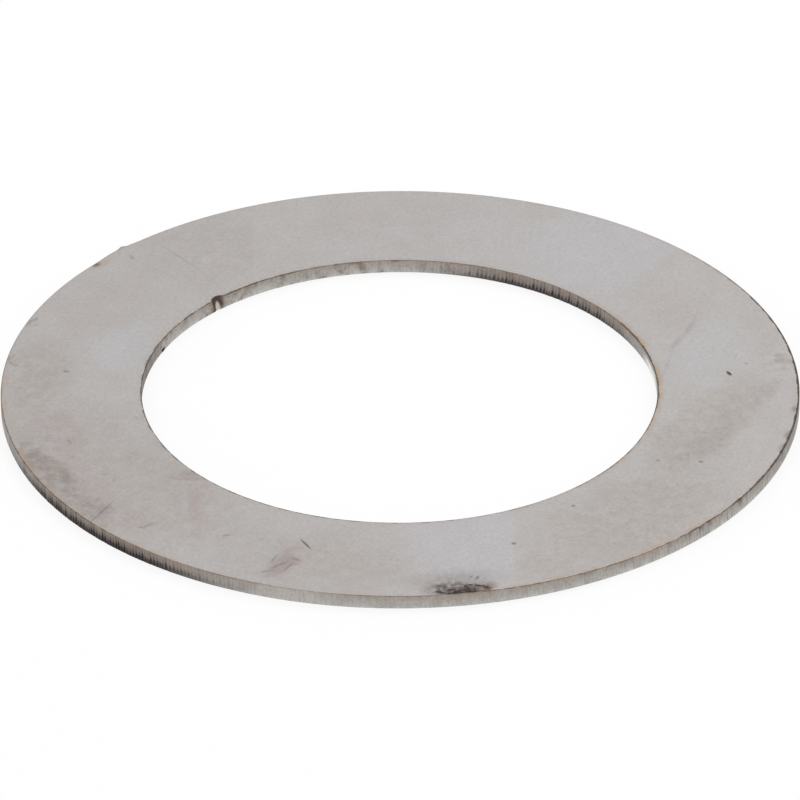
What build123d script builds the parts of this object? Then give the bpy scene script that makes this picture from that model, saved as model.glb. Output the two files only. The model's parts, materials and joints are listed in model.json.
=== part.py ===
from build123d import *

import math
import os

# Shim ring: a flat spacer washer, laser-cut in one piece from thin stainless sheet.
#
# Frame: the bore's axis is Z, the underside lies on Z = 0 and the upper face looks up +Z.
# Angles run counter-clockwise from +X, seen from above. Lengths are in millimetres.
#
# The cutting beam starts and ends each of its two contours at nearly the same bearing. That leaves
# a small notch in the bore, wider at the top where the beam went in, and a small nub on the rim.

# Driving dimensions of the ring.
outside_diameter = 28.0
bore_diameter = 18.1  # an 18 mm shaft and 0.05 mm of air all round
thickness = 0.5
top_edge_round = 0.03  # the beam melts the upper corners round
bottom_edge_break = 0.015  # the lower corners are only deburred

# Notch in the bore, where the inner cut starts and ends.
notch_bearing = 135.2
notch_mouth_width = 0.6  # at the upper face
notch_top_depth = 0.16
notch_bottom_depth = 0.03

# Nub on the rim, where the outer cut starts and ends: a sharp tip on a long, low swell.
# Runs are along the rim from the tip's bearing, clockwise and counter-clockwise.
nub_bearing = 134.4
tip_height = 0.15
tip_clockwise_run = 0.2
tip_counter_run = 0.5
tip_round = 0.1
swell_height = 0.06
swell_clockwise_run = 0.6
swell_counter_run = 1.3
foot_round = 0.3

outside_radius = outside_diameter / 2
bore_radius = bore_diameter / 2

# The notch is an upright cone. Its axis lies a little inside the bore.
notch_top_radius = (notch_mouth_width**2 / 4 + notch_top_depth**2) / (2 * notch_top_depth)
notch_centre = bore_radius + notch_top_depth - notch_top_radius
notch_bottom_radius = bore_radius + notch_bottom_depth - notch_centre
notch_lip = (notch_centre + notch_top_radius, thickness)
towards_notch = Vector(1, 0, 0).rotate(Axis.Z, notch_bearing)
notch_plane = Plane((0, 0, 0), x_dir=towards_notch, z_dir=towards_notch.cross(Vector(0, 0, 1)))
notch_axis = Axis(towards_notch * notch_centre, (0, 0, 1))


def from_rim(run, height=0.0):
    """Point this far along the rim from the nub's bearing and this high above the rim."""
    turn = run / outside_radius
    radius = outside_radius + height
    return radius * math.cos(turn), radius * math.sin(turn)


swell_middle = (swell_counter_run - swell_clockwise_run) / 2

with BuildPart() as shim_ring:
    # The blank's outline: the rim with its nub, blended in at every foot. The nub's swell and tip
    # are drawn as wedges from the ring's centre, so that they fuse with the disc.
    with BuildSketch(Plane.XY.rotated((0, 0, nub_bearing))) as blank:
        Circle(outside_radius)
        with BuildLine():
            ThreePointArc(
                from_rim(-swell_clockwise_run),
                from_rim(swell_middle, swell_height),
                from_rim(swell_counter_run),
            )
            Polyline(from_rim(-swell_clockwise_run), (0, 0), from_rim(swell_counter_run))
        make_face()
        with BuildLine():
            Polyline(
                (0, 0),
                from_rim(-tip_clockwise_run),
                from_rim(0, tip_height),
                from_rim(tip_counter_run),
                close=True,
            )
        make_face()
        *_, tip = blank.vertices().sort_by_distance((0, 0))
        fillet(tip, tip_round)
        nub_corners = blank.vertices().filter_by_position(Axis.X, outside_radius / 2, 2 * outside_radius)
        in_order = nub_corners.sort_by(Axis.Y)
        fillet(in_order[:2] + in_order[-2:], foot_round)
    extrude(amount=thickness)
    Hole(bore_radius)
    fillet(shim_ring.faces().sort_by(Axis.Z)[-1].edges(), top_edge_round)
    chamfer(shim_ring.faces().sort_by(Axis.Z)[0].edges(), bottom_edge_break)

    # The notch narrows from the upper face to the underside, and its lip is melted round too.
    with BuildSketch(notch_plane) as notch_section:
        with BuildLine():
            Polyline(
                (notch_centre, 0),
                (notch_centre + notch_bottom_radius, 0),
                notch_lip,
                (notch_lip[0] + top_edge_round, thickness),
                (notch_lip[0] + top_edge_round, thickness + top_edge_round),
                (notch_centre, thickness + top_edge_round),
                close=True,
            )
        make_face()
        fillet(notch_section.vertices().sort_by_distance(notch_lip)[0], top_edge_round)
    revolve(axis=notch_axis, mode=Mode.SUBTRACT)

shim_ring.part.label = "shim_ring"

os.makedirs("parts", exist_ok=True)
export_step(shim_ring.part, "parts/shim_ring.step")
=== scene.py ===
import json
import math

import bpy
import numpy as np
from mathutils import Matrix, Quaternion, Vector


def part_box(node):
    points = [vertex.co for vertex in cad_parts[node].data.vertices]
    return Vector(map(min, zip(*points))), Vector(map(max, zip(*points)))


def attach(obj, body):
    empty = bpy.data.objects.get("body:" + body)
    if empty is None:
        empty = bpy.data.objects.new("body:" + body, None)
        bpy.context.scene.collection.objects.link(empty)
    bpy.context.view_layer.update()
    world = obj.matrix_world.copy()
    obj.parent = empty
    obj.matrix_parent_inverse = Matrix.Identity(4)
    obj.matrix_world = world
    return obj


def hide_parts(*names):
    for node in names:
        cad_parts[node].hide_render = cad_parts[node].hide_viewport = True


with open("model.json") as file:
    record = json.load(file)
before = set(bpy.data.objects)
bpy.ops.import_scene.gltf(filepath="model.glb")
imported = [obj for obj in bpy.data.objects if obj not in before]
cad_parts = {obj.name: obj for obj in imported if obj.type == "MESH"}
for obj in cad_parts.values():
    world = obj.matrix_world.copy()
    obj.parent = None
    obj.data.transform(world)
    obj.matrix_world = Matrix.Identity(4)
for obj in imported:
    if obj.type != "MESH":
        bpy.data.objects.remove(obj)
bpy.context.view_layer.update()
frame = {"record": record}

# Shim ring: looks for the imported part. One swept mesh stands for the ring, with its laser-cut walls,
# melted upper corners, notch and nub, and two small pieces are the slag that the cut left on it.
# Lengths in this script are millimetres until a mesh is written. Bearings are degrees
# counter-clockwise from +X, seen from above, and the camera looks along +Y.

MM = 0.001

# ---------------------------------------------------------------- sizes, from the frame

low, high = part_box("shim_ring")
bore_mount = next(m for m in frame["record"]["mounts"] if m["name"] == "bore")

RIM = (high.x - low.x) / 2 / MM
BORE = bore_mount["dims"]["r_mm"]
TOP = (high.z - low.z) / MM

TOP_ROUND = 0.03
BOTTOM_ROUND = 0.015

# The notch is an upright cone, and the nub a sharp tip on a long low swell.
NOTCH_BEARING = 135.2
NOTCH_MOUTH = 0.6
NOTCH_TOP_DEPTH = 0.16
NOTCH_BOTTOM_DEPTH = 0.03

NUB_BEARING = 134.4
TIP_HEIGHT = 0.15
TIP_CLOCKWISE = 0.2
TIP_COUNTER = 0.5
SWELL_HEIGHT = 0.06
SWELL_CLOCKWISE = 0.6
SWELL_COUNTER = 1.3

# Cut walls: grooves a pitch apart, deepest in the dark sectors, which are burn with painted shade.
# Each groove drags behind the beam as it goes down.
GROOVE_PITCH = 0.145
GROOVE_DEPTH = 0.008
GROOVE_DRAG = -0.05
ROUGH_RIM_BEARING = 221
ROUGH_BORE_BEARING = 50

# A bead of melted metal stands proud along the right side of the rim.
LIP_BEARING = 8
LIP_SPREAD = 52
LIP_WIDTH = 0.042

# A bead of dross hangs on the bore's lower edge.
BEAD_BEARING = 157

COLUMNS = 2880  # points round the ring

# The notch's circle at the upper face, and how far the cone's axis stands from the ring's.
NOTCH_RADIUS = (NOTCH_MOUTH**2 / 4 + NOTCH_TOP_DEPTH**2) / (2 * NOTCH_TOP_DEPTH)
NOTCH_CENTRE = BORE + NOTCH_TOP_DEPTH - NOTCH_RADIUS


def degrees_from(centre, bearing):
    """Degrees from a bearing to each of an array's, between -180 and 180."""
    return (np.degrees(bearing) - centre + 180) % 360 - 180


def grooves(radius, rough_bearing, seed):
    """A function of bearing and height that gives the depth of the beam's grooves in a wall."""
    random = np.random.default_rng(seed)
    count = round(2 * math.pi * radius / GROOVE_PITCH)
    steps = random.uniform(0.75, 1.25, count)
    starts = np.concatenate([[0], np.cumsum(steps)]) / steps.sum() * 2 * math.pi
    depths = GROOVE_DEPTH * random.uniform(0.4, 1.3, count)

    def depth(bearing, height):
        below = np.clip((TOP - height) / TOP, 0, 1)
        dragged = (bearing + GROOVE_DRAG / radius * below**1.5) % (2 * math.pi)
        cell = np.clip(np.searchsorted(starts, dragged, side="right") - 1, 0, count - 1)
        part = (dragged - starts[cell]) / (starts[cell + 1] - starts[cell])
        away = np.abs(degrees_from(rough_bearing, bearing))
        rough = 1 + 0.9 * np.exp(-((away / 24) ** 2))
        return depths[cell] * rough * 4 * part * (1 - part) * (0.35 + 0.65 * np.sqrt(below))

    return depth


def nub(bearing):
    """How far the rim stands proud at each bearing."""
    run = degrees_from(NUB_BEARING, bearing) * math.pi / 180 * RIM
    middle = (SWELL_COUNTER - SWELL_CLOCKWISE) / 2
    half = (SWELL_COUNTER + SWELL_CLOCKWISE) / 2
    swell = SWELL_HEIGHT * (1 - ((run - middle) / half) ** 2)
    slope = np.where(run > 0, TIP_COUNTER, TIP_CLOCKWISE)
    tip = TIP_HEIGHT * (1 - np.abs(run) / slope)
    blend = 0.012  # rounds the tip and the foot, in a soft maximum
    both = blend * np.logaddexp(np.maximum(swell, -1) / blend, np.maximum(tip, -1) / blend)
    return blend * np.logaddexp(both / blend, 0) - blend * math.log(2) * np.exp(-((run / 3) ** 2))


def lip(bearing):
    """The bead along the right side of the rim."""
    away = degrees_from(LIP_BEARING, bearing)
    return LIP_WIDTH * np.exp(-((away / LIP_SPREAD) ** 4))


def notch(bearing, height):
    """How far the bore is cut back at each bearing and height."""
    bottom_radius = BORE + NOTCH_BOTTOM_DEPTH - NOTCH_CENTRE
    radius = bottom_radius + (NOTCH_RADIUS - bottom_radius) * height / TOP
    away = np.radians(degrees_from(NOTCH_BEARING, bearing))
    across = NOTCH_CENTRE * np.sin(away)
    reach = NOTCH_CENTRE * np.cos(away) + np.sqrt(np.maximum(radius**2 - across**2, 0))
    return np.where((np.abs(across) < radius) & (np.abs(away) < 0.1), np.maximum(reach - BORE, 0), 0)


# ---------------------------------------------------------------- meshes


def make_object(name, points, faces, materials, slots=None):
    """A smooth-shaded mesh object from points in millimetres. Slots gives each face's material."""
    mesh = bpy.data.meshes.new(name)
    mesh.from_pydata((np.asarray(points) * MM).tolist(), [], faces)
    for material in materials:
        mesh.materials.append(material)
    if slots is not None:
        mesh.polygons.foreach_set("material_index", np.asarray(slots, np.int32))
    mesh.shade_smooth()
    mesh.update()
    piece = bpy.data.objects.new(name, mesh)
    bpy.context.scene.collection.objects.link(piece)
    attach(piece, "root")
    return piece


FACE, WALL = 0, 1  # material slots of the ring's mesh


def ring_profile(bearing):
    """The ring's section at every bearing, one entry a profile point.

    An entry is the radii, the height, the groove's depths and the material slot of the band before it.
    The profile runs up the bore, over the upper face, down the rim and back along the underside.
    """
    rim_groove = grooves(RIM, ROUGH_RIM_BEARING, seed=4)
    bore_groove = grooves(BORE, ROUGH_BORE_BEARING, seed=9)
    corner_height = TOP - TOP_ROUND
    support = 0.04  # how far beyond a corner the flat face is held flat
    levels = np.linspace(BOTTOM_ROUND, corner_height, 8)
    profile = []

    def bore(height, extra, slot, level=None):
        cut = bore_groove(bearing, height)
        radius = BORE + notch(bearing, height) + cut + extra
        profile.append((radius, height if level is None else level, cut, slot))

    def rim(height, extra, slot, level=None):
        cut = rim_groove(bearing, height)
        radius = RIM + nub(bearing) + lip(bearing) - cut - extra
        profile.append((radius, height if level is None else level, cut, slot))

    def corner(side, turn):
        """A point of the upper corner's round, a turn up from the wall."""
        setback = TOP_ROUND * (1 - math.cos(turn))
        side(corner_height, setback, WALL, corner_height + TOP_ROUND * math.sin(turn))

    def ring(radius):
        profile.append((np.full_like(bearing, radius), TOP, np.zeros_like(bearing), FACE))

    for height in levels:
        bore(height, 0, WALL)
    for turn in np.radians([30, 60, 90]):
        corner(bore, turn)
    bore(corner_height, TOP_ROUND + support, FACE, TOP)
    ring(BORE + 0.6)
    ring(RIM - 0.6)
    rim(corner_height, TOP_ROUND + support, FACE, TOP)
    rim(corner_height, TOP_ROUND, FACE, TOP)
    for turn in np.radians([60, 30]):
        corner(rim, turn)
    for height in levels[::-1]:
        rim(height, 0, WALL)
    rim(BOTTOM_ROUND, BOTTOM_ROUND * 0.3, WALL, BOTTOM_ROUND * 0.3)
    rim(BOTTOM_ROUND, BOTTOM_ROUND, WALL, 0)
    rim(BOTTOM_ROUND, BOTTOM_ROUND + support, FACE, 0)
    bore(BOTTOM_ROUND, BOTTOM_ROUND + support, FACE, 0)
    bore(BOTTOM_ROUND, BOTTOM_ROUND, FACE, 0)
    bore(BOTTOM_ROUND, BOTTOM_ROUND * 0.3, WALL, BOTTOM_ROUND * 0.3)
    return profile


def make_ring(materials):
    bearing = np.linspace(0, 2 * math.pi, COLUMNS, endpoint=False)
    profile = ring_profile(bearing)
    rows = len(profile)
    points = np.empty((rows, COLUMNS, 3))
    for row, (radius, height, _, _) in enumerate(profile):
        points[row, :, 0] = radius * np.cos(bearing)
        points[row, :, 1] = radius * np.sin(bearing)
        points[row, :, 2] = height
    here = np.arange(rows)[:, None] * COLUMNS + np.arange(COLUMNS)
    beside = np.roll(here, -1, axis=1)
    above = np.roll(here, -1, axis=0)
    corner = np.roll(beside, -1, axis=0)
    faces = np.stack([here, above, corner, beside], -1).reshape(-1, 4)
    slots = np.repeat([entry[3] for entry in profile[1:] + profile[:1]], COLUMNS)
    ring = make_object("shim_ring_cut", points.reshape(-1, 3), faces.tolist(), materials, slots)
    groove = ring.data.attributes.new("groove", "FLOAT", "POINT")
    groove.data.foreach_set("value", np.concatenate([entry[2] for entry in profile]) / GROOVE_DEPTH)
    return ring


# ---------------------------------------------------------------- shader nodes


def srgb(red, green, blue):
    """A colour in 8-bit sRGB, as the linear values that a shader takes."""
    values = np.array([red, green, blue]) / 255
    linear = np.where(values > 0.04045, ((values + 0.055) / 1.055) ** 2.4, values / 12.92)
    return (*linear.tolist(), 1.0)


class Graph:
    """Writes a material's nodes. Each method adds a node and returns its output."""

    def __init__(self, name):
        self.material = bpy.data.materials.new(name)
        self.material.use_nodes = True
        self.tree = self.material.node_tree
        self.shader = self.tree.nodes["Principled BSDF"]

    def put(self, value, socket):
        if isinstance(value, bpy.types.NodeSocket):
            self.tree.links.new(value, socket)
        else:
            socket.default_value = value

    def node(self, kind, **settings):
        node = self.tree.nodes.new(kind)
        for key, value in settings.items():
            setattr(node, key, value)
        return node

    def math(self, operation, first, second=0.0):
        node = self.node("ShaderNodeMath", operation=operation)
        self.put(first, node.inputs[0])
        self.put(second, node.inputs[1])
        return node.outputs[0]

    def add(self, first, second):
        return self.math("ADD", first, second)

    def times(self, first, second):
        return self.math("MULTIPLY", first, second)

    def most(self, first, second):
        return self.math("MAXIMUM", first, second)

    def ramp(self, value, start, end, low=0.0, high=1.0):
        """A smooth step from low to high as value goes from start to end."""
        node = self.node("ShaderNodeMapRange", interpolation_type="SMOOTHSTEP")
        for socket, given in zip(node.inputs, (value, start, end, low, high)):
            self.put(given, socket)
        return node.outputs[0]

    def vector(self, operation, first, second=(0, 0, 0)):
        node = self.node("ShaderNodeVectorMath", operation=operation)
        self.put(first, node.inputs[0])
        self.put(second, node.inputs[1])
        return node.outputs["Value" if operation == "LENGTH" else "Vector"]

    def split(self, vector):
        node = self.node("ShaderNodeSeparateXYZ")
        self.put(vector, node.inputs[0])
        return node.outputs

    def join(self, x, y, z=0.0):
        node = self.node("ShaderNodeCombineXYZ")
        for socket, value in zip(node.inputs, (x, y, z)):
            self.put(value, socket)
        return node.outputs[0]

    def noise(self, place, scale, detail=2.0, roughness=0.5, seed=0.0, colour=False):
        node = self.node("ShaderNodeTexNoise", noise_dimensions="4D")
        self.put(place, node.inputs["Vector"])
        self.put(seed, node.inputs["W"])
        self.put(scale, node.inputs["Scale"])
        self.put(detail, node.inputs["Detail"])
        self.put(roughness, node.inputs["Roughness"])
        return node.outputs["Color" if colour else "Fac"]

    def mix(self, factor, first, second, blend="MIX"):
        node = self.node("ShaderNodeMix", data_type="RGBA", blend_type=blend)
        self.put(factor, node.inputs[0])
        self.put(first, node.inputs[6])  # the colour pair of the node's inputs
        self.put(second, node.inputs[7])
        return node.outputs[2]

    def shade(self, colour, change):
        """The colour made lighter or darker by a share of itself."""
        share = self.add(change, 1.0)
        return self.mix(1.0, colour, self.join(share, share, share), "MULTIPLY")

    def stops(self, value, stops):
        """A colour that follows value through a list of (value, colour)."""
        node = self.node("ShaderNodeValToRGB")
        ramp = node.color_ramp
        while len(ramp.elements) < len(stops):
            ramp.elements.new(0.5)
        for element, (position, colour) in zip(ramp.elements, stops):
            element.position = position
            element.color = colour
        self.put(value, node.inputs[0])
        return node.outputs[0]

    def attribute(self, name):
        return self.node("ShaderNodeAttribute", attribute_name=name).outputs["Fac"]

    def bump(self, height, distance, strength=1.0):
        node = self.node("ShaderNodeBump")
        self.put(strength, node.inputs["Strength"])
        self.put(distance * MM, node.inputs["Distance"])
        self.put(height, node.inputs["Height"])
        return node.outputs[0]

    def place(self):
        """Where a point is: millimetres, radius, bearing in degrees, and 1 in the upper half."""
        coordinates = self.node("ShaderNodeTexCoord").outputs["Object"]
        self.point = self.vector("MULTIPLY", coordinates, (1 / MM,) * 3)
        self.x, self.y, self.z = self.split(self.point)
        self.flat = self.join(self.x, self.y)
        self.radius = self.vector("LENGTH", self.flat)
        turn = self.math("ARCTAN2", self.y, self.x)
        self.bearing = self.math("FLOORED_MODULO", self.times(turn, 180 / math.pi), 360.0)
        self.upper = self.math("GREATER_THAN", self.z, TOP / 2)

    def away_from(self, centre):
        """Degrees from a bearing, between -180 and 180."""
        turned = self.math("FLOORED_MODULO", self.add(self.bearing, 540 - centre), 360.0)
        return self.add(turned, -180.0)

    def sector(self, centre, half, feather):
        """1 within half a width of a bearing, falling to 0 over the feather."""
        away = self.math("ABSOLUTE", self.away_from(centre))
        return self.ramp(away, half, half + feather, 1.0, 0.0)

    def ellipse(self, x, y, centre, half_width, half_height):
        """Distance from a centre, measured so that it is 1 on an upright ellipse."""
        across = self.times(self.add(x, -centre[0]), 1 / half_width)
        up = self.times(self.add(y, -centre[1]), 1 / half_height)
        return self.vector("LENGTH", self.join(across, up))

    def spot(self, place, centre, half_length, half_width, turn, feather, strength=1.0):
        """An elliptical mark on a plane, fading out over the feather's share of its size."""
        mapping = self.node("ShaderNodeMapping", vector_type="TEXTURE")
        self.put(place, mapping.inputs["Vector"])
        self.put((centre[0], centre[1], 0), mapping.inputs["Location"])
        self.put((0, 0, math.radians(turn)), mapping.inputs["Rotation"])
        self.put((half_length, half_width, 1), mapping.inputs["Scale"])
        distance = self.vector("LENGTH", mapping.outputs[0])
        return self.ramp(distance, 1 - feather, 1 + feather, strength, 0.0)

    def spots(self, place, marks):
        """The strongest of several marks, each a tuple of spot's values."""
        total = 0.0
        for mark in marks:
            total = self.most(total, self.spot(place, *mark))
        return total

    def stroke(self, angle, length, width, seed):
        """Noise drawn out along an angle: fine parallel scratches of about a length and width."""
        mapping = self.node("ShaderNodeMapping", vector_type="TEXTURE")
        self.put(self.flat, mapping.inputs["Vector"])
        self.put((0, 0, math.radians(angle)), mapping.inputs["Rotation"])
        self.put((length, width, 1), mapping.inputs["Scale"])
        return self.noise(mapping.outputs[0], 1.0, 2, 0.6, seed)


# ---------------------------------------------------------------- the mill-finished faces

STEEL = srgb(183, 179, 177)
STEEL_WARM = srgb(181, 176, 172)
STEEL_COOL = srgb(184, 182, 182)
OLIVE = srgb(174, 167, 162)
LILAC = srgb(187, 185, 188)
ROSE = srgb(174, 161, 161)
HANDLED = srgb(146, 135, 129)
TAN = srgb(178, 155, 132)
BROWN = srgb(64, 53, 47)
RUST = srgb(112, 80, 62)
SOOT = srgb(41, 36, 35)
INK = srgb(72, 67, 66)
BURN_HAZE = srgb(104, 92, 90)
SCORCH = srgb(96, 80, 76)
FAINT_LINE = srgb(128, 124, 121)
SLAG_BROWN = srgb(96, 76, 64)

# Marks on the upper face: centre, half length, half width, turn, feather and strength.
OLIVE_ZONES = [
    ((-12.7, 0.9), 2.4, 1.1, 88, 0.5, 0.9),
    ((-9.9, -5.8), 6.2, 2.7, -52, 0.5, 0.75),
    ((-2.8, -11.7), 3.8, 1.8, -8, 0.5, 0.6),
    ((10.7, -2.6), 3.6, 1.1, 62, 0.5, 0.9),
    ((8.2, -8.7), 3.8, 2.1, 46, 0.5, 0.85),
    ((5.9, -11.4), 1.9, 1.3, 28, 0.5, 0.6),
    ((12.6, 3.6), 1.5, 0.7, 100, 0.6, 0.3),
]
LILAC_ZONES = [
    ((-9.7, 3.0), 1.5, 0.8, 76, 0.4, 0.9),
    ((10.9, 2.6), 2.2, 1.2, 74, 0.6, 0.7),
    ((-7.1, -10.7), 1.3, 0.8, -42, 0.5, 0.35),
    ((2.4, 10.4), 2.8, 1.6, 0, 0.7, 0.3),
]
ROSE_ZONES = [
    ((-10.7, 5.8), 2.6, 1.4, 62, 0.6, 0.3),
    ((-0.5, 11.6), 2.8, 1.8, 0, 0.6, 0.15),
    ((-11.7, -3.0), 1.7, 0.8, -72, 0.5, 0.6),
    ((-11.2, -5.8), 1.6, 0.6, -60, 0.5, 0.65),
    ((-7.1, -8.1), 1.5, 0.32, -84, 0.6, 0.9),
    ((-9.5, -8.5), 1.3, 0.4, -32, 0.7, 0.8),
    ((-4.0, -11.7), 1.2, 0.5, 50, 0.6, 0.9),
    ((13.0, 0.1), 0.6, 0.35, 62, 0.8, 0.6),
    ((9.3, 5.6), 1.8, 0.9, -54, 0.6, 0.3),
]
HANDLED_ZONES = [
    ((-12.3, -5.4), 2.2, 0.6, -66, 0.5, 0.8),
    ((-11.0, -7.8), 1.5, 0.55, -50, 0.6, 0.7),
    ((-7.1, -6.0), 0.7, 0.4, -40, 0.6, 0.6),
    ((12.75, -0.75), 1.0, 0.45, 66, 0.8, 0.3),
    ((10.8, -3.8), 1.6, 0.6, 62, 0.8, 0.35),
    ((-13.0, 4.9), 0.45, 0.16, 70, 0.6, 0.6),
    ((-13.55, 2.1), 0.35, 0.14, 82, 0.6, 0.6),
    ((13.5, 1.9), 0.55, 0.18, 100, 0.6, 0.5),
    ((-4.0, -11.9), 0.9, 0.35, 56, 0.7, 0.5),
]
# Fine marks: a dent, specks and scratches.
MARKS = [
    ((11.58, 1.07), 0.16, 0.065, -64, 0.4, 0.95),
    ((12.2, 1.75), 0.07, 0.05, 0, 0.6, 0.35),
    ((3.94, -10.49), 0.08, 0.07, 0, 0.6, 0.6),
    ((6.02, -7.96), 0.07, 0.06, 0, 0.6, 0.55),
    ((9.0, -4.9), 0.06, 0.06, 0, 0.6, 0.4),
    ((10.5, -5.0), 0.08, 0.06, 0, 0.6, 0.55),
    ((-11.71, 1.32), 0.09, 0.07, 0, 0.6, 0.45),
    ((-9.5, 9.3), 0.12, 0.07, -70, 0.8, 0.3),
    ((-10.33, -8.26), 0.78, 0.03, 61, 0.6, 0.4),
    ((-3.26, -10.5), 0.36, 0.045, -62, 0.5, 0.7),
    ((-4.35, -11.45), 0.3, 0.045, 66, 0.7, 0.3),
    ((-4.2, -11.9), 0.35, 0.05, 40, 0.7, 0.32),
    ((-3.85, -12.0), 0.3, 0.04, 62, 0.7, 0.3),
    ((-4.6, -12.3), 0.25, 0.04, 20, 0.7, 0.3),
    ((-3.6, -11.5), 0.16, 0.05, -30, 0.7, 0.3),
    ((13.6, -3.15), 0.26, 0.12, 72, 0.9, 0.5),
    ((13.84, -1.4), 0.2, 0.09, 84, 0.9, 0.45),
    ((13.38, -4.0), 0.22, 0.11, 72, 0.9, 0.4),
    ((13.15, 1.8), 0.6, 0.12, 28, 0.9, 0.09),
    ((13.3, 1.3), 0.4, 0.1, 16, 0.9, 0.09),
    ((10.25, 4.3), 0.55, 0.09, 72, 0.8, 0.13),
    ((9.75, 3.2), 0.5, 0.1, 66, 0.8, 0.16),
    ((9.4, 1.6), 1.1, 0.06, 78, 0.8, 0.08),
    ((-7.7, 9.2), 0.9, 0.04, -52, 0.8, 0.17),
    ((-9.2, -1.9), 0.12, 0.035, -60, 0.8, 0.2),
    ((-6.0, -9.9), 0.14, 0.05, 10, 0.6, 0.35),
    ((-8.72, -9.2), 0.22, 0.05, 40, 0.8, 0.26),
    ((-8.95, -9.35), 0.14, 0.05, -20, 0.8, 0.24),
    ((-11.55, -3.5), 0.16, 0.035, -60, 0.7, 0.3),
    ((-10.3, -5.75), 0.1, 0.035, 5, 0.7, 0.28),
]

# The burn at the rim, on its own grid: X along the rim from its middle, Y in from the rim.
BURN_BEARING = 279.2
BURN_HALO = [
    ((-0.4, 0.4), 0.9, 0.5, 0, 0.6, 0.85),
    ((0.45, 0.4), 0.65, 0.36, 0, 0.6, 0.6),
    ((-0.2, 0.85), 1.3, 0.6, 0, 0.8, 0.38),
    ((-1.0, 0.55), 0.3, 0.3, 40, 0.8, 0.4),
]
# Thick soot, where slag stands on the face, and the thin soot round it.
BURN_LUMPS = [
    ((-0.16, 0.04), 0.72, 0.06, 0, 0.5, 1.0),
    ((-0.1, 0.15), 0.36, 0.1, 0, 0.4, 1.0),
    ((0.02, 0.16), 0.3, 0.12, 8, 0.5, 1.0),
    ((0.16, 0.36), 0.1, 0.2, 25, 0.5, 0.85),
    ((0.27, 0.55), 0.14, 0.06, -20, 0.6, 0.7),
    ((0.38, 0.2), 0.07, 0.14, 0, 0.6, 0.75),
    ((0.6, 0.42), 0.2, 0.07, -14, 0.5, 0.9),
    ((0.8, 0.28), 0.12, 0.1, 20, 0.6, 0.8),
]
BURN_SMOKE = [
    ((-0.05, 0.22), 0.75, 0.22, 0, 0.7, 0.5),
    ((-0.42, 0.3), 0.2, 0.07, 12, 0.6, 0.7),
    ((-0.7, 0.55), 0.2, 0.09, -30, 0.7, 0.55),
    ((-0.86, 0.18), 0.22, 0.08, -12, 0.6, 0.75),
    ((0.62, 0.95), 0.12, 0.05, 65, 0.7, 0.45),
    ((0.45, 1.1), 0.1, 0.04, 55, 0.7, 0.4),
]
BURN_RUST = [
    ((0.9, 0.2), 0.12, 0.2, 0, 0.6, 0.9),
    ((0.55, 0.08), 0.45, 0.06, 0, 0.6, 0.8),
    ((1.05, 0.4), 0.2, 0.2, 0, 0.8, 0.35),
    ((0.3, 0.3), 0.25, 0.2, 0, 0.8, 0.4),
]


def along(g, bearing, radius):
    """Millimetres along a circle from a bearing, counter-clockwise."""
    return g.times(g.away_from(bearing), math.pi / 180 * radius)


def at(bearing, radius):
    """X and Y of a place on the face."""
    return radius * math.cos(math.radians(bearing)), radius * math.sin(math.radians(bearing))


def face_tints(g, colour):
    """Broad olive, lilac and rose tints and darker handled patches, with edges broken up by noise."""
    wander = g.noise(g.point, 0.9, 4, 0.65, seed=5, colour=True)
    wander = g.vector("MULTIPLY", g.vector("ADD", wander, (-0.5, -0.5, 0)), (2.4, 2.4, 0))
    place = g.vector("ADD", g.flat, wander)
    patchy = g.ramp(g.noise(g.point, 2.2, 5, 0.7, seed=6), 0.36, 0.6, 0.35, 1.0)
    patchy = g.times(patchy, g.upper)

    # Cool zones: three end in a straight line.
    cool = g.times(g.spot(g.flat, (2.5, -10.7), 2.3, 2.6, 0, 0.35), g.ramp(g.x, 3.88, 4.02, 0.95, 0.0))
    slant = g.add(g.times(g.x, 0.85), g.times(g.y, -0.53))
    corner = g.times(g.spot(g.flat, (7.2, 9.6), 2.9, 2.7, 0, 0.3), g.ramp(slant, 2.9, 3.3, 0.95, 0.0))
    cool = g.most(g.most(cool, corner), g.spots(place, LILAC_ZONES))
    olive = g.times(g.spot(g.flat, (-6.7, 9.8), 2.7, 2.6, 0, 0.4), g.ramp(g.x, -5.3, -5.1, 0.45, 0.0))
    olive = g.times(g.most(olive, g.spots(place, OLIVE_ZONES)), patchy)

    colour = g.mix(olive, colour, OLIVE)
    colour = g.mix(g.times(cool, g.times(g.upper, 0.65)), colour, LILAC)
    colour = g.mix(g.times(g.spots(place, ROSE_ZONES), g.times(patchy, 0.8)), colour, ROSE)
    smear = g.ramp(g.noise(g.point, 2.4, 5, 0.75, seed=7), 0.32, 0.62, 0.15, 1.0)
    smear = g.times(smear, g.upper)
    colour = g.mix(g.times(g.spots(place, HANDLED_ZONES), smear), colour, HANDLED)
    return colour, olive


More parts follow.
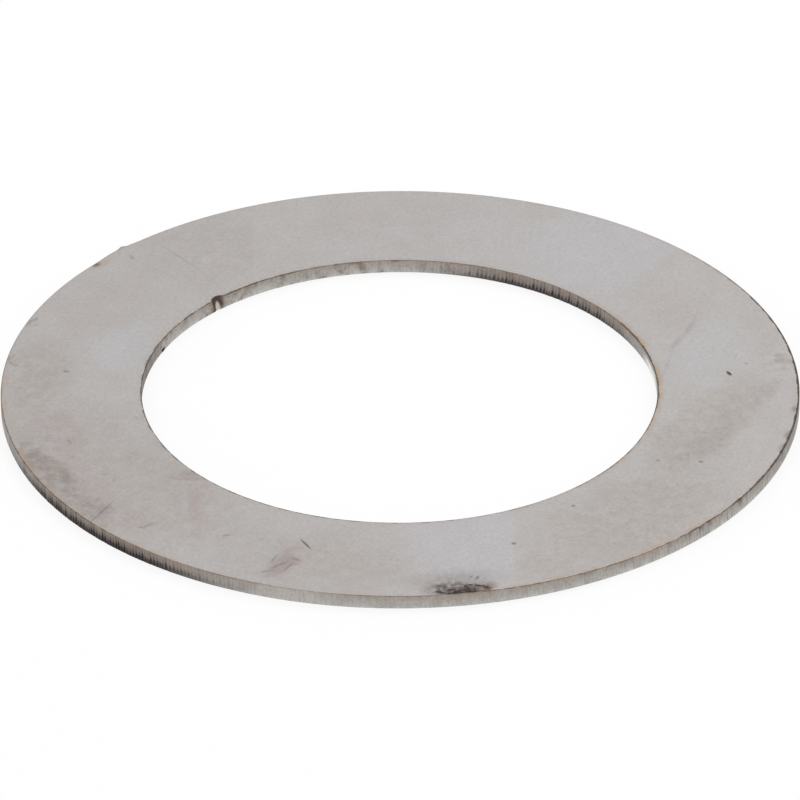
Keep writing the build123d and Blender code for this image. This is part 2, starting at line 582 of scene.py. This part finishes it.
def fine_grain(g, colour, worn):
    """Rolling grain, scratches, curled scuffs and specks, thicker where the face is worn."""
    grain = g.noise(g.point, 8.0, 3, 0.7, seed=3)
    cloud = g.noise(g.point, 1.3, 4, 0.6, seed=2)
    steep = g.ramp(g.stroke(62, 0.8, 0.1, seed=14), 0.56, 0.72)
    level = g.ramp(g.stroke(-24, 0.6, 0.09, seed=15), 0.58, 0.74)
    speck = g.ramp(g.noise(g.point, 4.5, 2, 0.5, seed=16), 0.64, 0.74)
    curl = g.math("ABSOLUTE", g.add(g.noise(g.point, 2.6, 3, 0.7, seed=17), -0.5))
    scuff = g.times(g.ramp(curl, 0.0, 0.022, 1.0, 0.0), g.ramp(cloud, 0.42, 0.6))
    change = g.add(g.ramp(grain, 0.25, 0.75, -0.08, 0.08), g.ramp(cloud, 0.3, 0.7, -0.025, 0.025))
    change = g.math("SUBTRACT", change, g.times(g.add(steep, level), g.add(g.times(worn, 0.08), 0.045)))
    change = g.math("SUBTRACT", change, g.times(speck, g.add(g.times(worn, 0.12), 0.06)))
    change = g.math("SUBTRACT", change, g.times(scuff, g.add(g.times(worn, 0.09), 0.05)))
    return g.shade(colour, change), grain


def edge_tints(g, colour):
    """Heat tint and the dark melted line beside the rim and the bore."""
    from_rim = g.math("SUBTRACT", RIM, g.radius)
    from_bore = g.math("SUBTRACT", g.radius, BORE)
    patchy = g.noise(g.point, 1.2, 4, 0.65, seed=9)

    rim_tint = g.add(g.most(g.times(g.sector(205, 22, 16), 0.55), g.times(g.sector(303, 14, 10), 0.8)), 0.2)
    rim_tint = g.times(rim_tint, g.ramp(from_rim, 0.03, 0.3, 1.0, 0.0))
    bore_tint = g.times(g.ramp(from_bore, 0.03, 0.32, 1.0, 0.0), g.add(g.sector(358, 28, 18), 0.3))
    tint = g.times(g.most(rim_tint, bore_tint), g.ramp(patchy, 0.38, 0.62, 0.1, 0.75))
    colour = g.mix(tint, colour, TAN)

    line = edge_line(g, from_rim, from_bore)
    return g.mix(line, colour, g.mix(g.sector(100, 50, 25), BROWN, FAINT_LINE))


def edge_line(g, from_rim, from_bore):
    """How strong the dark, ragged line of a melted corner is: darkest on the ring's right side."""
    ragged = g.noise(g.point, 2.6, 4, 0.7, seed=10)
    right = g.sector(352, 26, 40)
    far_right = g.sector(10, 26, 24)
    rim_width = g.add(g.times(far_right, 0.012), g.ramp(ragged, 0.35, 0.65, 0.012, 0.065))
    rim_strength = g.most(g.times(right, 0.92), g.times(g.sector(207, 14, 18), 0.62))
    rim_strength = g.most(rim_strength, g.times(g.sector(305, 18, 16), 0.6))
    rim_line = g.ramp(g.math("DIVIDE", from_rim, rim_width), 0.45, 1.0, 1.0, 0.0)
    rim_line = g.times(rim_line, g.most(rim_strength, 0.28))
    bore_width = g.ramp(ragged, 0.35, 0.65, 0.04, 0.11)
    bore_line = g.ramp(g.math("DIVIDE", from_bore, bore_width), 0.35, 1.0, 1.0, 0.0)
    bore_line = g.times(bore_line, g.add(g.times(g.sector(255, 125, 30), 0.5), 0.28))
    even = g.most(g.ramp(ragged, 0.34, 0.56, 0.55, 1.0), g.times(right, 0.95))
    return g.times(g.most(rim_line, bore_line), even)


def burn_stain(g, colour):
    """The burn at the rim, its outlines frayed by noise. Also gives how sooty each point is."""
    fray = g.noise(g.point, 3.8, 2, 0.6, seed=11, colour=True)
    fray = g.vector("MULTIPLY", g.vector("ADD", fray, (-0.5, -0.5, 0)), (0.34, 0.34, 0))
    place = g.join(along(g, BURN_BEARING, RIM), g.math("SUBTRACT", RIM, g.radius))
    place = g.vector("ADD", place, fray)
    wisps = g.ramp(g.noise(g.point, 4.0, 5, 0.75, seed=12), 0.36, 0.56, 0.3, 1.0)
    colour = g.mix(g.times(g.spots(place, BURN_HALO), wisps), colour, BURN_HAZE)
    colour = g.mix(g.spots(place, BURN_RUST), colour, RUST)
    soot = g.times(g.spots(place, BURN_LUMPS + BURN_SMOKE), g.ramp(wisps, 0.15, 0.7, 0.55, 1.0))
    return g.mix(soot, colour, SOOT), soot


def notch_scorch(g, colour):
    """The notch's melted surround, and the brown spot on the rim beside the nub."""
    centre = (*at(NOTCH_BEARING, NOTCH_CENTRE), 0)
    away = g.vector("LENGTH", g.vector("SUBTRACT", g.flat, centre))
    edge = g.ramp(g.math("SUBTRACT", away, NOTCH_RADIUS), 0.02, 0.07, 0.7, 0.0)
    colour = g.mix(g.times(edge, g.sector(NOTCH_BEARING, 1.8, 0.5)), colour, SCORCH)
    smear = g.spot(g.flat, at(139.9, 0.984 * RIM), 0.4, 0.16, 48, 0.7, 0.5)
    colour = g.mix(smear, colour, TAN)
    return g.mix(g.spot(g.flat, at(140.75, 0.991 * RIM), 0.15, 0.09, 50, 0.8, 0.65), colour, BROWN)


def mill_face():
    """Satin cold-rolled steel, handled and stained, with heat tint along its edges."""
    g = Graph("mill_face")
    g.place()
    hue = g.noise(g.point, 0.8, 4, 0.6, seed=4)
    colour = g.mix(0.4, STEEL, g.mix(g.ramp(hue, 0.35, 0.65), STEEL_WARM, STEEL_COOL))
    colour, worn = face_tints(g, colour)
    colour, grain = fine_grain(g, colour, worn)
    marks = g.times(g.spots(g.flat, MARKS), g.upper)
    colour = g.mix(marks, colour, INK)
    colour = edge_tints(g, colour)
    burnt_and_shaded, soot = burn_stain(g, colour)
    colour = g.mix(g.upper, colour, notch_scorch(g, burnt_and_shaded))

    g.put(colour, g.shader.inputs["Base Color"])
    g.shader.inputs["Metallic"].default_value = 1.0
    g.put(g.add(g.ramp(grain, 0.3, 0.7, 0.38, 0.46), g.times(soot, 0.3)), g.shader.inputs["Roughness"])
    height = g.add(g.times(grain, 0.6), g.times(marks, -2.5))
    g.put(g.bump(height, 0.002, 0.5), g.shader.inputs["Normal"])
    return g.material


# ---------------------------------------------------------------- the cut walls

# Colours up a wall, by share of the thickness: clean metal, and burned metal that is darker towards
# the foot as a painted reflection of the shade on the floor.
CLEAN_WALL = [
    (0.0, srgb(190, 188, 184)),
    (0.25, srgb(176, 173, 169)),
    (0.6, srgb(168, 162, 156)),
    (0.85, srgb(162, 154, 147)),
    (1.0, srgb(154, 143, 134)),
]
BURNT_AND_SHADED_WALL = [
    (0.0, srgb(96, 90, 88)),
    (0.4, srgb(108, 99, 94)),
    (0.7, srgb(132, 121, 113)),
    (1.0, srgb(144, 132, 122)),
]
WALL_SOOT_AND_SHADE = srgb(60, 55, 55)
PAINTED_HIGHLIGHT_WALL = srgb(186, 181, 176)
PAINTED_GLARE_WALL = srgb(232, 231, 229)
HAZY_WALL = srgb(113, 102, 97)
BLOTCHED_WALL = srgb(118, 103, 94)
STRAW = srgb(150, 132, 100)
NOTCH_TAN = srgb(136, 114, 100)
NOTCH_ARCH_TINT_AND_SHADE = srgb(78, 64, 58)
NOTCH_LIT = srgb(204, 198, 189)

# Sectors of the walls painted near black, burn with a painted reflection of shade: bearing, half width
# and feather.
BURNT_AND_SHADED_RIM = (219, 6, 28)
BURNT_AND_SHADED_BORE = (51, 11, 28)


def notch_tint_and_light(g, colour, inside):
    """Near-black heat tint and painted shadow in an arch, round a patch of painted light at the notch's foot.
    """
    u = along(g, NOTCH_BEARING, BORE)
    near = g.times(inside, g.sector(NOTCH_BEARING, 3.0, 1.0))
    tint = g.ramp(g.math("ABSOLUTE", u), 0.2, 0.5, 1.0, 0.0)
    colour = g.mix(g.times(near, g.times(tint, 0.65)), colour, NOTCH_TAN)
    outer = g.ellipse(u, g.z, (-0.03, 0.0), 0.29, 0.85)
    inner = g.ellipse(u, g.z, (-0.045, 0.12), 0.1, 0.22)
    short_leg = g.most(g.ramp(u, -0.06, 0.03), g.ramp(g.z, 0.0, 0.2))
    # The arch is heat tint along its top and painted shadow down its long leg.
    arch = g.times(g.times(near, g.ramp(outer, 0.6, 1.15, 1.0, 0.0)), short_leg)
    colour = g.mix(g.times(arch, 0.9), colour, NOTCH_ARCH_TINT_AND_SHADE)
    # Painted light: a pale patch where the notch's back wall is lit.
    return g.mix(g.times(near, g.ramp(inner, 0.55, 1.2, 1.0, 0.0)), colour, NOTCH_LIT)


def cut_wall():
    """The beam's wall: upright grooves, brown towards the upper edge, near black in sectors of burn and
    painted shade.
    """
    g = Graph("cut_wall")
    g.place()
    level = g.math("DIVIDE", g.z, TOP)
    outside = g.math("GREATER_THAN", g.radius, (RIM + BORE) / 2)
    inside = g.math("SUBTRACT", 1.0, outside)
    groove = g.attribute("groove")
    blot = g.noise(g.point, 2.4, 4, 0.65, seed=23)
    fleck = g.noise(g.point, 10.0, 2, 0.6, seed=22)

    colour = g.stops(g.add(level, g.ramp(blot, 0.3, 0.7, -0.15, 0.15)), CLEAN_WALL)
    # Painted highlight: a thin pale upright stripe on the rim's wall at bearing 255.
    painted_highlight = g.times(outside, g.sector(255, 2, 6))
    colour = g.mix(g.times(painted_highlight, 0.6), colour, PAINTED_HIGHLIGHT_WALL)
    # Painted reflection: near-white glare on the lower half of the bore's wall near bearing 11.
    painted_glare = g.times(g.times(inside, g.sector(11, 3, 6)), g.ramp(level, 0.5, 0.72, 1.0, 0.0))
    colour = g.mix(painted_glare, colour, PAINTED_GLARE_WALL)

    # Painted reflection of shade over burn: two sectors near black, darkest at the foot and up the grooves.
    burnt_and_shaded_bore = g.times(g.sector(*BURNT_AND_SHADED_BORE), 0.78)
    burnt_and_shaded = g.most(g.times(outside, g.sector(*BURNT_AND_SHADED_RIM)), g.times(inside, burnt_and_shaded_bore))
    colour = g.mix(burnt_and_shaded, colour, g.stops(level, BURNT_AND_SHADED_WALL))
    reach = g.math("SUBTRACT", level, g.times(groove, 0.24))
    reach = g.add(g.add(reach, g.times(inside, 0.12)), g.ramp(blot, 0.3, 0.7, -0.1, 0.1))
    colour = g.mix(g.times(burnt_and_shaded, g.ramp(reach, 0.08, 0.42, 1.0, 0.0)), colour, WALL_SOOT_AND_SHADE)

    # Brown haze where a wall turns to the sides of the ring.
    rim_haze = g.most(g.times(g.sector(357, 8, 18), 0.55), g.times(g.sector(183, 7, 10), 0.4))
    haze = g.most(g.times(outside, rim_haze), g.times(inside, g.sector(178, 9, 14)))
    colour = g.mix(haze, colour, HAZY_WALL)
    blotch = g.times(g.times(inside, g.sector(128, 52, 8)), g.ramp(blot, 0.5, 0.66))
    colour = g.mix(g.times(blotch, 0.5), colour, BLOTCHED_WALL)
    bead = g.times(inside, g.times(g.sector(BEAD_BEARING, 0.5, 1.2), g.ramp(level, 0.1, 0.45, 1.0, 0.0)))
    colour = g.mix(g.times(bead, 0.85), colour, SOOT)

    # Drips of oxide run down from the upper corner on the right.
    drip = g.ramp(g.noise(g.vector("MULTIPLY", g.point, (1, 1, 0.2)), 1.6, 4, 0.7, seed=24), 0.52, 0.64)
    drip = g.times(g.times(drip, g.sector(338, 26, 14)), g.ramp(level, 0.35, 0.9))
    colour = g.mix(g.times(g.times(drip, outside), 0.6), colour, BROWN)
    beside_burn = g.times(outside, g.times(g.sector(279, 3, 2), g.ramp(level, 0.2, 0.9)))
    colour = g.mix(g.times(beside_burn, 0.3), colour, STRAW)

    below = g.times(g.math("SUBTRACT", 1.0, level), 2.0 * TOP)
    colour = g.mix(edge_line(g, g.add(below, inside), g.add(below, outside)), colour, BROWN)
    colour = notch_tint_and_light(g, colour, inside)

    # Painted shade and highlight of the grooves: darker in their hollows, lighter on their crests, most in
    # the dark sectors and near bearing 326. Flecks vary the tone at random.
    strength = g.add(g.add(g.times(burnt_and_shaded, 0.3), 0.1), g.times(g.sector(326, 14, 16), 0.28))
    change = g.times(g.math("SUBTRACT", 0.45, groove), strength)
    change = g.add(change, g.ramp(fleck, 0.25, 0.75, -0.11, 0.11))
    colour = g.shade(colour, change)

    g.put(colour, g.shader.inputs["Base Color"])
    g.shader.inputs["Metallic"].default_value = 1.0
    g.put(g.ramp(blot, 0.3, 0.7, 0.36, 0.5), g.shader.inputs["Roughness"])
    g.put(g.bump(g.add(fleck, g.times(blot, 0.5)), 0.005, 0.5), g.shader.inputs["Normal"])
    return g.material


# ---------------------------------------------------------------- slag


def slag():
    """Blue-black oxide crust, brown on its high points."""
    g = Graph("slag")
    g.place()
    lump = g.noise(g.point, 9.0, 4, 0.65, seed=31)
    colour = g.mix(g.ramp(lump, 0.45, 0.65), SOOT, SLAG_BROWN)
    g.put(colour, g.shader.inputs["Base Color"])
    g.shader.inputs["Metallic"].default_value = 0.0
    g.put(g.ramp(lump, 0.3, 0.7, 0.7, 0.9), g.shader.inputs["Roughness"])
    g.put(g.bump(lump, 0.004, 0.5), g.shader.inputs["Normal"])
    return g.material


def make_crust(material):
    """Thin lumps of slag on the upper face at the burn, each a closed shell sunk a little into it."""
    step = 0.014
    runs = np.arange(-1.0, 1.0, step)  # along the rim from the burn's middle
    depths = np.arange(0.015, 0.62, step)  # in from the rim
    s, d = np.meshgrid(runs, depths, indexing="ij")
    random = np.random.default_rng(12)
    fray = np.zeros_like(s)
    for wave in range(14):
        pull = random.normal(0, 14, 2)
        fray += np.sin(s * pull[0] + d * pull[1] + random.uniform(0, 6.3))
    height = np.zeros_like(s)
    for centre, half_length, half_width, turn, _, strength in BURN_LUMPS:
        across = s - centre[0]
        up = d - centre[1]
        cosine = math.cos(math.radians(turn))
        sine = math.sin(math.radians(turn))
        lengthwise = (across * cosine + up * sine) / half_length
        crosswise = (up * cosine - across * sine) / half_width
        height = np.maximum(height, strength * (1 - (lengthwise**2 + crosswise**2)))
    height = 0.007 * (height - 0.35 + 0.05 * fray)
    kept = height > 0
    kept[[0, -1]] = False
    kept[:, [0, -1]] = False
    cells = kept[:-1, :-1] & kept[1:, :-1] & kept[:-1, 1:] & kept[1:, 1:]

    bearing = math.radians(BURN_BEARING) + s / RIM
    radius = RIM - d
    upper = np.stack([radius * np.cos(bearing), radius * np.sin(bearing), TOP + height], -1)
    lower = upper.copy()
    sunk = 0.004
    lower[..., 2] = TOP - sunk
    index = np.arange(s.size).reshape(s.shape)
    points = np.concatenate([upper.reshape(-1, 3), lower.reshape(-1, 3)])
    faces = []
    for i, j in zip(*np.nonzero(cells)):
        a, b, c, e = index[i, j], index[i + 1, j], index[i + 1, j + 1], index[i, j + 1]
        faces.append((e, c, b, a))
        faces.append((a + s.size, b + s.size, c + s.size, e + s.size))
        for di, dj, first, second in ((-1, 0, e, a), (1, 0, b, c), (0, -1, a, b), (0, 1, c, e)):
            if not cells[i + di, j + dj]:
                faces.append((first, second, second + s.size, first + s.size))
    used = np.unique(np.array(faces))
    renumber = np.zeros(len(points), int)
    renumber[used] = np.arange(len(used))
    return make_object("burn_crust", points[used], renumber[np.array(faces)].tolist(), [material])


def make_bead(material):
    """A bead of dross that hangs on the bore's lower edge: a lumpy ellipsoid along the edge."""
    bend = np.random.default_rng(3).normal(0, 1, (4, 3))
    rings = 12
    around = 20
    half_out, half_side, half_up = 0.035, 0.12, 0.05
    bearing = math.radians(BEAD_BEARING)
    out = np.array([math.cos(bearing), math.sin(bearing), 0])
    side = np.array([-math.sin(bearing), math.cos(bearing), 0])
    up = np.array([0, 0, 1])
    centre = out * (BORE + 0.01) + up * 0.07
    points = [centre + up * 0.06]
    for ring in range(1, rings):
        tilt = math.pi * ring / rings
        for step in range(around):
            turn = 2 * math.pi * step / around
            way = np.array([math.sin(tilt) * math.cos(turn), math.sin(tilt) * math.sin(turn), math.cos(tilt)])
            lump = 1 + 0.12 * sum(math.sin(3 * float(way @ b)) for b in bend)
            reach = half_out * way[0] * out + half_side * way[1] * side + half_up * way[2] * up
            points.append(centre + lump * reach)
    points.append(centre - up * 0.055)
    last = len(points) - 1
    faces = []
    for step in range(around):
        after = (step + 1) % around
        faces.append((0, 1 + step, 1 + after))
        faces.append((last, 1 + (rings - 2) * around + after, 1 + (rings - 2) * around + step))
        for ring in range(rings - 2):
            first = 1 + ring * around
            faces.append((first + step, first + around + step, first + around + after, first + after))
    return make_object("dross_bead", points, faces, [material])


ring = make_ring([mill_face(), cut_wall()])
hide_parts("shim_ring")
oxide = slag()
make_crust(oxide)
make_bead(oxide)

# ---------------------------------------------------------------- floor, light and camera


def white_for_the_eye(tree, share):
    """A share for rays from the camera and in reflections, and 0 for the rest."""
    path = tree.nodes.new("ShaderNodeLightPath")
    either = tree.nodes.new("ShaderNodeMath")
    either.operation = "MAXIMUM"
    tree.links.new(path.outputs["Is Camera Ray"], either.inputs[0])
    tree.links.new(path.outputs["Is Glossy Ray"], either.inputs[1])
    part = tree.nodes.new("ShaderNodeMath")
    part.operation = "MULTIPLY"
    tree.links.new(either.outputs[0], part.inputs[0])
    part.inputs[1].default_value = share
    return part.outputs[0]


def make_floor():
    """Pale paper, white to the eye, that shows the ring's underside to a camera below it."""
    material = bpy.data.materials.new("floor")
    material.use_nodes = True
    tree = material.node_tree
    tree.nodes.clear()
    output = tree.nodes.new("ShaderNodeOutputMaterial")
    paper = tree.nodes.new("ShaderNodeBsdfDiffuse")
    paper.inputs["Color"].default_value = (0.93, 0.93, 0.93, 1)
    white = tree.nodes.new("ShaderNodeEmission")
    both = tree.nodes.new("ShaderNodeMixShader")
    tree.links.new(white_for_the_eye(tree, 0.85), both.inputs[0])
    tree.links.new(paper.outputs[0], both.inputs[1])
    tree.links.new(white.outputs[0], both.inputs[2])
    clear = tree.nodes.new("ShaderNodeBsdfTransparent")
    from_below = tree.nodes.new("ShaderNodeMixShader")
    tree.links.new(tree.nodes.new("ShaderNodeNewGeometry").outputs["Backfacing"], from_below.inputs[0])
    tree.links.new(both.outputs[0], from_below.inputs[1])
    tree.links.new(clear.outputs[0], from_below.inputs[2])
    tree.links.new(from_below.outputs[0], output.inputs["Surface"])
    mesh = bpy.data.meshes.new("floor")
    half = 0.8
    gap = 0.005 * MM  # keeps the floor off the underside, which would flicker in it
    corners = [(-half, -half, 0), (half, -half, 0), (half, half, 0), (-half, half, 0)]
    mesh.from_pydata(corners, [], [(0, 1, 2, 3)])
    mesh.materials.append(material)
    floor = bpy.data.objects.new("floor", mesh)
    floor.location.z = low.z - gap
    bpy.context.scene.collection.objects.link(floor)


def make_world(left, right):
    """White to the eye. As light it is stronger from the left than from the right."""
    world = bpy.data.worlds.new("studio")
    world.use_nodes = True
    tree = world.node_tree
    background = tree.nodes["Background"]
    background.inputs["Color"].default_value = (1, 1, 1, 1)
    way = tree.nodes.new("ShaderNodeSeparateXYZ")
    tree.links.new(tree.nodes.new("ShaderNodeTexCoord").outputs["Generated"], way.inputs[0])
    across = tree.nodes.new("ShaderNodeMapRange")
    across.inputs["From Min"].default_value = -1.0
    across.inputs["To Min"].default_value = left
    across.inputs["To Max"].default_value = right
    tree.links.new(way.outputs["X"], across.inputs["Value"])
    path = tree.nodes.new("ShaderNodeLightPath")
    seen = tree.nodes.new("ShaderNodeMapRange")
    seen.inputs["To Max"].default_value = 1.0
    tree.links.new(across.outputs["Result"], seen.inputs["To Min"])
    tree.links.new(path.outputs["Is Camera Ray"], seen.inputs["Value"])
    tree.links.new(seen.outputs["Result"], background.inputs["Strength"])
    bpy.context.scene.world = world


def make_softbox(name, azimuth, elevation, distance, size, power):
    """A square area lamp at a bearing and height, facing the ring."""
    lamp = bpy.data.lights.new(name, "AREA")
    lamp.shape = "SQUARE"
    lamp.size = size
    lamp.energy = power
    a, e = math.radians(azimuth), math.radians(elevation)
    way = Vector((math.cos(a) * math.cos(e), math.sin(a) * math.cos(e), math.sin(e)))
    piece = bpy.data.objects.new(name, lamp)
    piece.location = way * distance
    piece.rotation_mode = "QUATERNION"
    piece.rotation_quaternion = way.to_track_quat("Z", "Y")
    bpy.context.scene.collection.objects.link(piece)


def make_camera():
    """The photograph's camera: a long lens, 30.6 degrees above the floor."""
    elevation = math.radians(30.574)
    distance = 45.63 * RIM * MM
    ring_share = 0.99725  # of the frame's width
    centre = Vector((0, 0, high.z))
    back = Vector((0, -math.cos(elevation), math.sin(elevation)))
    up = Vector((0, math.sin(elevation), math.cos(elevation)))
    right = Vector((1, 0, 0))
    aim = centre - up * (0.02585 * RIM * MM) + right * (0.0011 * RIM * MM)
    data = bpy.data.cameras.new("camera")
    data.sensor_width = 36
    data.lens = data.sensor_width * distance / (2 * RIM * MM / ring_share)
    data.clip_start, data.clip_end = 0.05, 5
    camera = bpy.data.objects.new("camera", data)
    camera.location = aim + back * distance
    camera.rotation_mode = "QUATERNION"
    camera.rotation_quaternion = (-back).to_track_quat("-Z", "Y") @ Quaternion((0, 0, 1), -0.0028)
    bpy.context.scene.collection.objects.link(camera)
    bpy.context.scene.camera = camera


make_floor()
make_world(left=1.1, right=0.6)
make_softbox("key", 50, 50, 0.6, 0.35, 1.1)
make_camera()
bpy.context.scene.view_settings.view_transform = "Standard"
